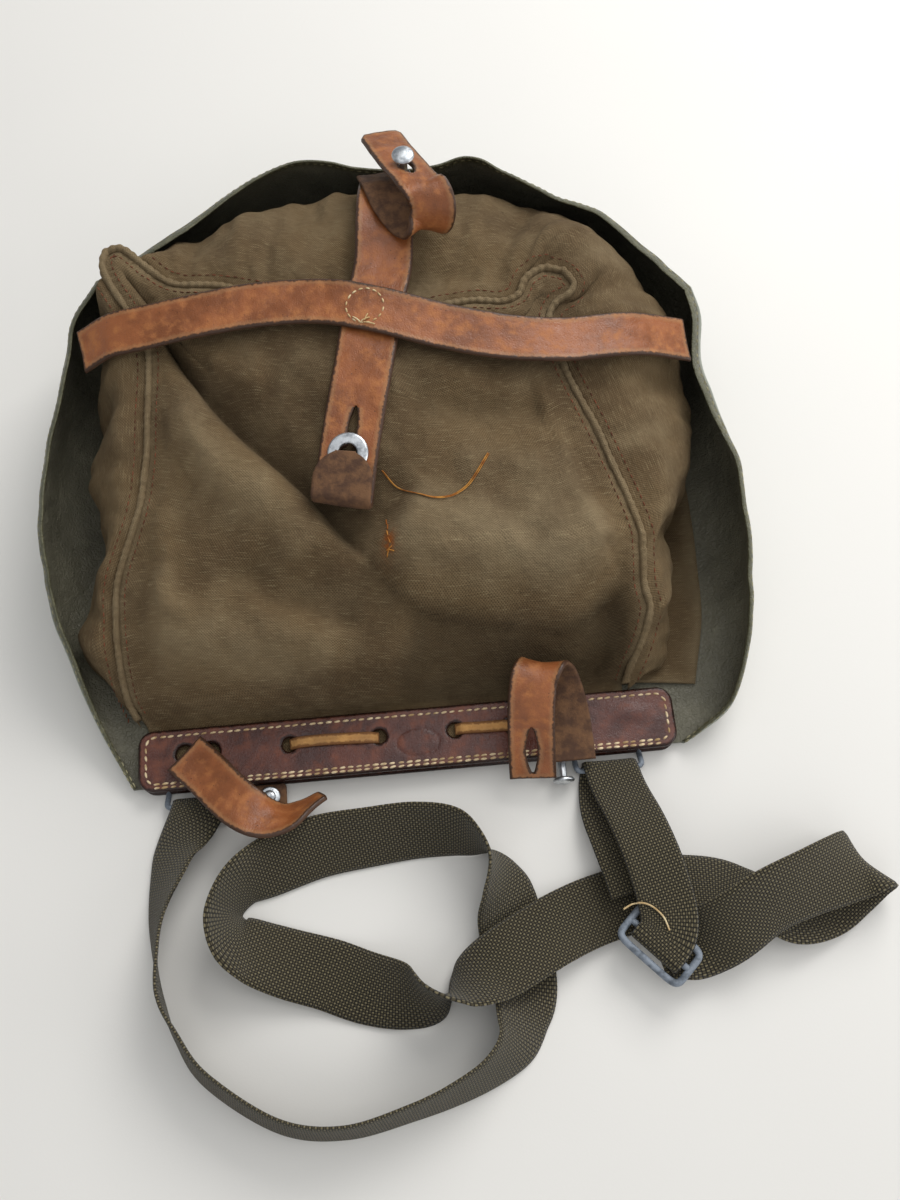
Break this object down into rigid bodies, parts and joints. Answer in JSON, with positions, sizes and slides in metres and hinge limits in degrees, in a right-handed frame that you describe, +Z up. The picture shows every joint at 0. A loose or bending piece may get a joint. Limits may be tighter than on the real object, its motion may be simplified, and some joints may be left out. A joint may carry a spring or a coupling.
{
  "type": "haversack",
  "caption": "Canvas haversack lying open on its flap, with leather yoke, straps and belt loops, metal studs and rings, and a webbing shoulder sling.",
  "frame": {"origin": "on the flat underside of the flap, on the middle line of the leather yoke strip, about midway between the yoke and the bottom of the pouch", "axes": "+X along the yoke strip, +Y from the yoke to the bottom of the pouch, +Z up from the surface that the bag lies on"},
  "size_m": [0.3678, 0.4446, 0.1191],
  "materials": {
    "coated_cloth": "coated cloth, olive grey, creased",
    "canvas": "washed olive-brown canvas, plain weave",
    "yoke_leather": "polished dark brown leather",
    "strap_leather": "worn russet leather",
    "thong_leather": "raw tan leather",
    "bare_metal": "bare, slightly dulled",
    "painted_wire": "grey paint",
    "webbing": "coarse woven olive webbing"
  },
  "bodies": {
    "root": {"flap_shell": "coated_cloth", "front_panel": "canvas", "gusset": "canvas", "rear_panel": "canvas", "seam_ridge": "canvas", "yoke_backing": "yoke_leather", "yoke_strip": "yoke_leather", "thong_left": "thong_leather", "thong_right": "thong_leather", "center_strap": "strap_leather", "strap_washer": "bare_metal", "cross_strap": "strap_leather", "closure_strap": "strap_leather", "closure_stud": "bare_metal", "belt_loop_left": "strap_leather", "belt_loop_right": "strap_leather", "loop_stud": "bare_metal", "snap_tab_left": "strap_leather", "snap_rivet": "bare_metal", "ring_left": "painted_wire", "ring_right": "painted_wire", "sling_webbing": "webbing", "slider_buckle": "painted_wire"}
  },
  "joints": []
}
